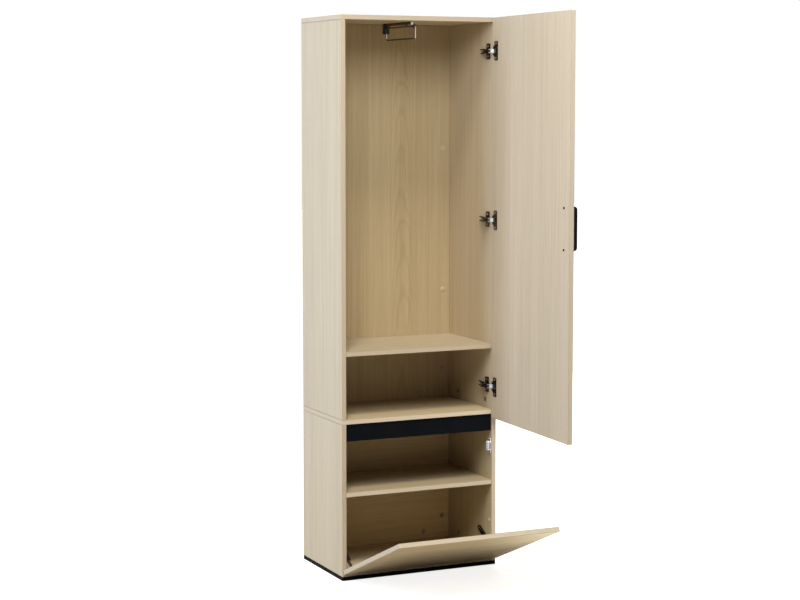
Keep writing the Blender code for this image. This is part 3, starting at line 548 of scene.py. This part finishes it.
PLATE_FACE = 3.4
PLATE_SCREW = (-33.0, 16.0)
PLATE_SCREW_HEAD = (4.1, 1.9)
ARM_FOOT = 4.2
ARM_STEP = 6.5
ARM_CROWN = 38.5
ARM_SCREW_V = -44.0
ARM_SCREW_RISE = 0.55
ARM_SCREW_LIFT = 0.3
ARM_SCREW_HEAD = (3.0, 1.2)
RAIL_CROWN = 39.0
RAIL_W = (5.2, 7.9)
RAIL_EDGE = 0.5
CUP_CENTRE = 21.7
CUP_FACE = -1.5
CUP_SCREW = (28.0, 24.0)
CUP_SCREW_HEAD = (3.9, 1.8)
CUP_RIM = 16.4
EDGE_PLATE_P = (33.0, 41.2)
EDGE_PLATE_Q = (-1.9, -0.4)
EDGE_PLATE_EDGE = 0.25
WING_END = 31.4
WING_CHAMFER = 1.5
LINING_R = 16.0
LINING_W = 7.3
LINING_Q = (0.2, 10.7)
LINING_EDGE = 0.5


def arm_rail_outline(foot):
    """Forked tail, slope and crown of a rail, as (u, v)."""
    return [(foot + 1.0, -78.0), (foot + 6.4, -78.0), (foot + 7.4, -66.0),
            (RAIL_CROWN, -28.0), (RAIL_CROWN, -25.0), (foot + 9.0, -36.0)]


def edge_plate_outline():
    """A strip between the wings of the cup, cut out round its rim."""
    low, high = EDGE_PLATE_P
    start = math.acos((low - CUP_CENTRE) / CUP_RIM)
    strip = [(low, -WING_END), (high - WING_CHAMFER, -WING_END), (high, WING_CHAMFER - WING_END),
             (high, WING_END - WING_CHAMFER), (high - WING_CHAMFER, WING_END), (low, WING_END)]
    return strip + [(CUP_CENTRE + CUP_RIM * math.cos(a), CUP_RIM * math.sin(a))
                    for a in arc(start, -start, steps=12)]


def lining_outline(side):
    """The segment of the cup beside the link."""
    start = math.acos(LINING_W / LINING_R)
    return [(CUP_CENTRE + LINING_R * math.sin(a), side * LINING_R * math.cos(a))
            for a in arc(start, -start, steps=14)]


def dress_hinge(label, base, seat, leaf, leaf_body):
    plate_screws = bmesh.new()
    v, w = PLATE_SCREW
    for side in (-1, 1):
        screw(plate_screws, base @ facing((seat + PLATE_FACE, v, side * w), (1, 0, 0)), *PLATE_SCREW_HEAD)
    foot = seat + ARM_FOOT
    slope = foot + ARM_STEP + (ARM_CROWN - foot - ARM_STEP) * ARM_SCREW_RISE
    screw(plate_screws, base @ facing((slope + ARM_SCREW_LIFT, ARM_SCREW_V, 0.0), (1, 0, 0)),
          *ARM_SCREW_HEAD)
    piece(label + "_plate_screws", plate_screws, SCREW, "carcass")
    rails = bmesh.new()
    for side in (-1, 1):
        low, high = sorted(side * w for w in RAIL_W)
        slab(rails, base, arm_rail_outline(foot), low, high, RAIL_EDGE)
    piece(label + "_arm_rails", rails, POWDER, "carcass")
    cup_screws = bmesh.new()
    p, w = CUP_SCREW
    for side in (-1, 1):
        screw(cup_screws, leaf @ facing((p, CUP_FACE, side * w), (0, -1, 0)), *CUP_SCREW_HEAD)
    piece(label + "_cup_screws", cup_screws, SCREW, leaf_body)
    through_leaf = leaf @ ALONG_Y
    edge_plate = bmesh.new()
    slab(edge_plate, through_leaf, edge_plate_outline(), *EDGE_PLATE_Q, EDGE_PLATE_EDGE)
    piece(label + "_cup_edge_plate", edge_plate, BRONZE, leaf_body)
    lining = bmesh.new()
    for side in (-1, 1):
        slab(lining, through_leaf, lining_outline(side), *LINING_Q, LINING_EDGE)
    piece(label + "_cup_lining", lining, BRONZE, leaf_body)


SLEEVE_LENGTH = 6.6
SLEEVE_HALF = 1.15
SLEEVE_W = 6.7
SLEEVE_EDGE = 0.25
KNUCKLE_R = 2.2
RIVET_ALONG = 5.5
RIVET_W = (-4.0, 4.0)
RIVET_PROFILE = [(1.3, -1.2), (1.3, 1.0), (0.9, 1.3)]


def sleeve_link(label, base, angle, body):
    """Dark moulded sleeve on the cup end of a link, and two rivets near its arm end."""
    end = turned(CUP, ARM, -LINK_RATIO * angle)
    reach = math.dist(ARM, end)
    heading = math.atan2(end[1] - ARM[1], end[0] - ARM[0])
    at = base @ Matrix.Translation((*ARM, 0.0)) @ Matrix.Rotation(heading, 4, "Z")
    made = bmesh.new()
    start = math.asin(SLEEVE_HALF / KNUCKLE_R)
    outline = [(reach - SLEEVE_LENGTH, SLEEVE_HALF), (reach - SLEEVE_LENGTH, -SLEEVE_HALF)]
    outline += [(reach - KNUCKLE_R * math.cos(a), -KNUCKLE_R * math.sin(a))
                for a in arc(start, 2 * math.pi - start, steps=16)]
    for w in RIVET_W:
        lathe(made, at @ facing((RIVET_ALONG, 0.0, w), (0, 1, 0)), RIVET_PROFILE, count=16)
    slab(made, at, outline, -SLEEVE_W, SLEEVE_W, SLEEVE_EDGE)
    piece(label + "_link_sleeve", made, BLACK_PLASTIC, body)


for number, height in enumerate(DOOR_HINGE_Z, 1):
    base = door_frame(height)
    dress_hinge("door_hinge_%d" % number, base, BOARD, leaf_frame(base, DOOR_OPEN), "door")
    sleeve_link("door_hinge_%d" % number, base, DOOR_OPEN, "door_links")
for number, across in enumerate(FLAP_HINGE_X, 1):
    base = flap_frame(across)
    dress_hinge("flap_hinge_%d" % number, base, FLOOR_Z - FLAP_BASE, leaf_frame(base, FLAP_OPEN), "flap")
    sleeve_link("flap_hinge_%d" % number, base, FLAP_OPEN, "flap_links")


# Flap stays: the bars are the webs of pressed channels, whose flanges stand towards the room

STAY_FOOT_PQ = (24.0, -9.3)
STAY_HEAD = (FRONT + 76.0, FLOOR_Z + 83.7)
STAY_START = 16.0
FLANGE = [(6.0, 3.2), (7.8, 3.2), (7.8, 9.6), (6.7, 9.6), (6.7, 4.8), (6.0, 4.8)]
u, v = leaf_point(*STAY_FOOT_PQ, FLAP_OPEN)
stay_foot = (FRONT - v, FLAP_BASE + u)
stay_len = math.dist(stay_foot, STAY_HEAD)
stay_turn = math.atan2(STAY_HEAD[1] - stay_foot[1], STAY_HEAD[0] - stay_foot[0])
track = [(STAY_START, 90.0), (stay_len / 2, 90.0)]
track += [(stay_len, angle) for angle in arc(90.0, -90.0, steps=16)]
track += [(stay_len / 2, -90.0), (STAY_START, -90.0)]
for label, sign in (("left", -1), ("right", 1)):
    made = bmesh.new()
    rings = []
    for along, angle in track:
        c = math.cos(math.radians(angle))
        s = math.sin(math.radians(angle))
        section = []
        for out, off in FLANGE:
            y, z = turned((along + out * c, out * s), (0.0, 0.0), stay_turn)
            section.append(made.verts.new((sign * (INNER - off), stay_foot[0] + y, stay_foot[1] + z)))
        rings.append(section)
    skin(made, rings)
    made.faces.new(rings[0][::-1])
    made.faces.new(rings[-1])
    piece("stay_flanges_" + label, made, BRONZE, "stay_" + label)


# Cam fittings in their bores: zinc cams with a cross recess, darker and browner for painted shade, and
# domed cover caps.
# Heights on the backs are shares of the bay's height, as the bores are placed.

CAM_PROFILE = [(6.4, -6.0), (7.2, -1.6), (8.2, -0.15), (8.2, 0.30), (7.5, 0.42), (6.9, 0.05),
               (6.6, -0.9), (4.6, -1.1)]
CAM_CROSS = (3.3, 0.85, 2.2)
CAP_PROFILE = [(6.8, -3.0), (7.2, -0.2), (8.7, -0.15), (8.7, 0.45), (8.1, 1.15), (6.6, 1.65),
               (4.0, 2.0), (1.5, 2.1)]
CAM_EDGE = 27.0
CAM_Y = (-118.5, 81.5)
SIDE_CAP = (BACK_FACE - 52.9, TOP_Z - 91.0)
BACK_CAM_X = INNER - CAM_EDGE
ROW_CAM_X = INNER - 98.5
LOWER_CAM_SHARES = (0.161, 0.8136)
UPPER_CAM_SHARE = 0.0774
UPPER_CAP_SHARES = (0.2924, 0.6747)
TOWARD = (0, -1, 0)
lower = MID_Z - FLOOR_Z
upper = TOP_Z - MID_TOP
cams = []
caps = []
for sign in (-1, 1):
    inward = (-sign, 0, 0)
    for y in CAM_Y:
        for z in (FLOOR_Z + CAM_EDGE, MID_Z - CAM_EDGE, MID_TOP + CAM_EDGE):
            cams.append(facing((sign * INNER, y, z), inward))
    caps.append(facing((sign * INNER, *SIDE_CAP), inward))
    for share in LOWER_CAM_SHARES:
        cams.append(facing((sign * BACK_CAM_X, BACK_FACE, FLOOR_Z + share * lower), TOWARD))
    cams.append(facing((sign * BACK_CAM_X, BACK_FACE, MID_TOP + UPPER_CAM_SHARE * upper), TOWARD))
    for share in UPPER_CAP_SHARES:
        caps.append(facing((sign * BACK_CAM_X, BACK_FACE, MID_TOP + share * upper), TOWARD))
    for z in (FLOOR_Z + CAM_EDGE, MID_TOP + CAM_EDGE):
        cams.append(facing((sign * ROW_CAM_X, BACK_FACE, z), TOWARD))
made = bmesh.new()
for spot in cams:
    cross_head(made, spot, CAM_PROFILE, *CAM_CROSS)
piece("cam_fittings", made, CAM_ZINC_SHADED, "carcass")
made = bmesh.new()
for spot in caps:
    lathe(made, spot, CAP_PROFILE)
piece("cam_caps", made, WOOD_PLASTIC, "carcass")


# Shelf pins: the spare holes get dark linings of raw board that paint the shade inside the holes, the pins
# in use have collars

PIN_Y = (FRONT + 36.0, BACK_FACE - 60.0)
PIN_Z = 270.4
PIN_PITCH = 32.0
SHADE_LINER_PROFILE = [(2.55, -8.6), (2.55, -0.02), (2.25, -0.25), (2.15, -8.0)]
COLLAR_PROFILE = [(3.9, -0.1), (3.9, 0.6), (3.3, 1.0), (2.35, 1.05), (2.3, 1.05)]
shade_linings = bmesh.new()
collars = bmesh.new()
for sign in (-1, 1):
    inward = (-sign, 0, 0)
    for y in PIN_Y:
        for step in (-1, 1):
            lathe(shade_linings, facing((sign * INNER, y, PIN_Z + step * PIN_PITCH), inward),
                  SHADE_LINER_PROFILE, count=18)
        lathe(collars, facing((sign * INNER, y, PIN_Z), inward), COLLAR_PROFILE, count=24)
piece("pin_hole_shade_linings", shade_linings, RAW_BOARD_SHADE, "carcass")
piece("shelf_pin_collars", collars, BRIGHT, "carcass")


# Magnetic catch: pole plates in the mouth, ribs and screws

CATCH_Z = MID_Z - 109.0
CATCH_Y = FRONT + 1.5
WALL = INNER - 0.3
POLE_INSETS = (8.8, 6.0, 3.2)
POLE_Y = (CATCH_Y - 0.3, CATCH_Y + 4.0)
POLE_Z = (CATCH_Z - 9.6, CATCH_Z + 9.6)
POLE_HALF = 0.55
RIB_INSET = 12.2
RIB_OFFSETS = (-9.0, -3.0, 3.0, 9.0)
RIB_Y = (CATCH_Y + 4.0, CATCH_Y + 14.5)
RIB_HALF = 0.7
RIB_X = (-0.25, 0.5)
CATCH_EDGE = 0.2
CATCH_SCREW = (WALL - 2.9, CATCH_Y + 9.0)
CATCH_SCREW_RISE = 19.0
CATCH_SCREW_HEAD = (3.7, 1.4)
made = bmesh.new()
for inset in POLE_INSETS:
    at = Matrix.Translation((WALL - inset, 0.0, 0.0)) @ ALONG_X
    slab(made, at, block(*POLE_Y, *POLE_Z), -POLE_HALF, POLE_HALF, CATCH_EDGE)
piece("catch_pole_plates", made, GREY_PLASTIC, "carcass")
made = bmesh.new()
at = Matrix.Translation((WALL - RIB_INSET, 0.0, 0.0)) @ ALONG_X
for rise in RIB_OFFSETS:
    z = CATCH_Z + rise
    slab(made, at, block(*RIB_Y, z - RIB_HALF, z + RIB_HALF), *RIB_X, CATCH_EDGE)
piece("catch_ribs", made, GREY_PLASTIC, "carcass")
made = bmesh.new()
for side in (-1, 1):
    spot = (*CATCH_SCREW, CATCH_Z + side * CATCH_SCREW_RISE)
    screw(made, facing(spot, (-1, 0, 0)), *CATCH_SCREW_HEAD)
piece("catch_screws", made, POWDER, "carcass")


# Rail: end plate of the track, its tab under the top panel and the fixing screw

CROWN = TOP_Z - 0.3
TRACK_FRONT = FRONT + 68.5
TAB_HALF = 4.2
TAB_Y = (TRACK_FRONT - 11.0, TRACK_FRONT - 1.2)
TAB_Z = (-1.6, -0.1)
PLATE_Y = (TRACK_FRONT - 1.7, TRACK_FRONT - 0.2)
PLATE_OUTLINE = [(-TAB_HALF, CROWN - 0.2), (TAB_HALF, CROWN - 0.2), (TAB_HALF, CROWN - 8.0),
                 (3.0, CROWN - 9.6), (-3.0, CROWN - 9.6), (-TAB_HALF, CROWN - 8.0)]
PLATE_EDGE = 0.3
TAB_SCREW = (0.0, TRACK_FRONT - 6.5, CROWN - 1.6)
TAB_SCREW_HEAD = (2.6, 1.1)
made = bmesh.new()
screw(made, facing(TAB_SCREW, (0, 0, -1)), *TAB_SCREW_HEAD)
slab(made, ALONG_Y, PLATE_OUTLINE, *PLATE_Y, PLATE_EDGE)
tab = Matrix.Translation((0.0, 0.0, CROWN))
slab(made, tab, block(-TAB_HALF, TAB_HALF, *TAB_Y), *TAB_Z, PLATE_EDGE)
piece("rail_end_plate", made, BRIGHT, "carcass")


# Dark sleeves on the hanging loop: one in the housing, one along the lower rod

LOOP_REAR = 99.5
LOOP_ROD_Z = 1750.0
REAR_SLEEVE = block(-4.1, 4.1, LOOP_REAR - 4.0, LOOP_REAR + 4.2)
REAR_SLEEVE_Z = (1771.2, 1791.0)
REAR_SLEEVE_EDGE = 0.4
ROD_SLEEVE = [(2.3, -120.5), (2.6, -119.5), (2.6, 91.0), (2.3, 92.0)]
made = bmesh.new()
slab(made, Matrix.Identity(4), REAR_SLEEVE, *REAR_SLEEVE_Z, REAR_SLEEVE_EDGE)
piece("loop_rear_sleeve", made, BLACK_PLASTIC, "rail")
made = bmesh.new()
lathe(made, facing((0.0, 0.0, LOOP_ROD_Z), (0, 1, 0)), ROD_SLEEVE, count=20)
piece("loop_rod_sleeve", made, DARK_STEEL, "rail")


# Softened edges on the solids that show them, in millimetres

SOFT_EDGES = {"door_handle": 1.1, "rail_housing": 0.4, "rail_block": 0.4, "catch_body": 0.4}
SHARP = math.radians(35.0)
for name, width in SOFT_EDGES.items():
    soften = nodes[name].modifiers.new("soft_edges", "BEVEL")
    soften.width = width * MM
    soften.segments = 2
    soften.limit_method = "ANGLE"
    soften.angle_limit = SHARP


# Camera: fitted to the carcass edges in the photograph, tilted a little to keep the shift small

SENSOR = 36.0
LENS = 85.185
SHIFT = -0.03
CAMERA_PLACE = (-2.6251, -5.7072, 1.5394)
CAMERA_TURN = (1.48003, 0.0, -0.43168)
CLIP_END = 60.0
cam_data = bpy.data.cameras.new("camera")
cam_data.sensor_width = SENSOR
cam_data.lens = LENS
cam_data.shift_y = SHIFT
cam_data.clip_end = CLIP_END
camera = bpy.data.objects.new("camera", cam_data)
camera.location = CAMERA_PLACE
camera.rotation_euler = CAMERA_TURN
bpy.context.scene.collection.objects.link(camera)
bpy.context.scene.camera = camera


# Light: a soft key from the upper left front, large fills and a small card on the floor

def area_light(name, place, target, size, power, colour):
    lamp = bpy.data.lights.new(name, "AREA")
    lamp.shape = "RECTANGLE"
    lamp.size = size[0]
    lamp.size_y = size[1]
    lamp.energy = power
    lamp.color = colour
    obj = bpy.data.objects.new(name, lamp)
    obj.location = place
    aim = Vector(target) - Vector(place)
    obj.rotation_euler = aim.to_track_quat("-Z", "Y").to_euler()
    obj.visible_camera = False
    bpy.context.scene.collection.objects.link(obj)


KEY_POWER = 2.0
KEY_SOFTNESS = math.radians(14.0)
KEY_COLOUR = (1.0, 0.94, 0.80)
KEY_TURN = (math.radians(28.0), 0.0, math.radians(-28.0))
sun = bpy.data.lights.new("key", "SUN")
sun.energy = KEY_POWER
sun.angle = KEY_SOFTNESS
sun.color = KEY_COLOUR
key = bpy.data.objects.new("key", sun)
key.rotation_euler = KEY_TURN
bpy.context.scene.collection.objects.link(key)
area_light("side_fill", place=(-3.8, 0.05, 1.9), target=(0.0, -0.2, 1.0), size=(1.8, 3.0),
           power=140.0, colour=(0.585, 0.742, 1.0))
area_light("front_fill", place=(-0.90, -1.90, 2.70), target=(0.0, 0.0, 1.25), size=(1.2, 1.0),
           power=46.0, colour=(0.92, 0.92, 0.88))
area_light("floor_card", place=(0.37, -0.70, 0.004), target=(0.37, -0.70, 1.0), size=(0.40, 0.40),
           power=1.1, colour=(0.76, 0.88, 1.0))
area_light("rear_fill", place=(2.9, 3.1, 2.2), target=(0.0, 0.1, 0.9), size=(2.2, 2.2),
           power=115.0, colour=(1.0, 0.98, 0.95))


# World: white to the rays that see it, almost no light of its own

WHITE = (1.0, 1.0, 1.0, 1.0)
WHITE_RAYS = ("Is Camera Ray", "Is Glossy Ray", "Is Transmission Ray")
WORLD_LIGHT = 0.01
world = bpy.data.worlds.new("studio")
bpy.context.scene.world = world
world.use_nodes = True
tree = world.node_tree
background = tree.nodes["Background"]
background.inputs["Color"].default_value = WHITE
path = tree.nodes.new("ShaderNodeLightPath")
seen = path.outputs[WHITE_RAYS[0]]
for name in WHITE_RAYS[1:]:
    either = tree.nodes.new("ShaderNodeMath")
    either.operation = "MAXIMUM"
    tree.links.new(seen, either.inputs[0])
    tree.links.new(path.outputs[name], either.inputs[1])
    seen = either.outputs[0]
level = tree.nodes.new("ShaderNodeMapRange")
tree.links.new(seen, level.inputs["Value"])
level.inputs["To Min"].default_value = WORLD_LIGHT
level.inputs["To Max"].default_value = 1.0
tree.links.new(level.outputs["Result"], background.inputs["Strength"])


# Floor: plain and pale; it glows to white for the camera and for reflections, less so near the
# object, where its shadow shows. Each glow runs from a near to a far distance (metres).

FLOOR_REACH = 20.0
FLOOR_DROP = 0.0005
FLOOR_TONES = ((0.60, 0.55, 0.465), (0.64, 0.585, 0.495))
FLOOR_CELLS = 3.0
FLOOR_ROUGH = 0.9
SHOWN_GLOW = (0.8, 3.0, 0.84, 1.0)
MIRRORED_GLOW = (0.5, 3.5, 0.05, 1.0)
bm = bmesh.new()
bmesh.ops.create_grid(bm, x_segments=2, y_segments=2, size=FLOOR_REACH)
floor_mesh = bpy.data.meshes.new("floor")
bm.to_mesh(floor_mesh)
bm.free()
floor = bpy.data.objects.new("floor", floor_mesh)
floor.location = (0.0, 0.0, -FLOOR_DROP)
bpy.context.scene.collection.objects.link(floor)
g = Graph("pale_floor")
place = g.add("ShaderNodeTexCoord").outputs["Object"]
spread = g.add("ShaderNodeVectorMath", operation="LENGTH")
g.link(place, spread.inputs[0])
away = spread.outputs["Value"]
rays = g.add("ShaderNodeLightPath").outputs
shown = g.math("MULTIPLY", rays["Is Camera Ray"], g.span(away, *SHOWN_GLOW))
mirrored = g.math("MAXIMUM", rays["Is Glossy Ray"], rays["Is Transmission Ray"])
mirrored = g.math("MULTIPLY", mirrored, g.span(away, *MIRRORED_GLOW))
set_shader(g, Base_Color=g.mix(g.noise(place, FLOOR_CELLS, detail=3.0), *FLOOR_TONES),
           Roughness=FLOOR_ROUGH, Specular_IOR_Level=0.0, Emission_Color=WHITE,
           Emission_Strength=g.math("MAXIMUM", shown, mirrored))
floor_mesh.materials.append(g.mat)

bpy.context.scene.view_settings.view_transform = "Standard"
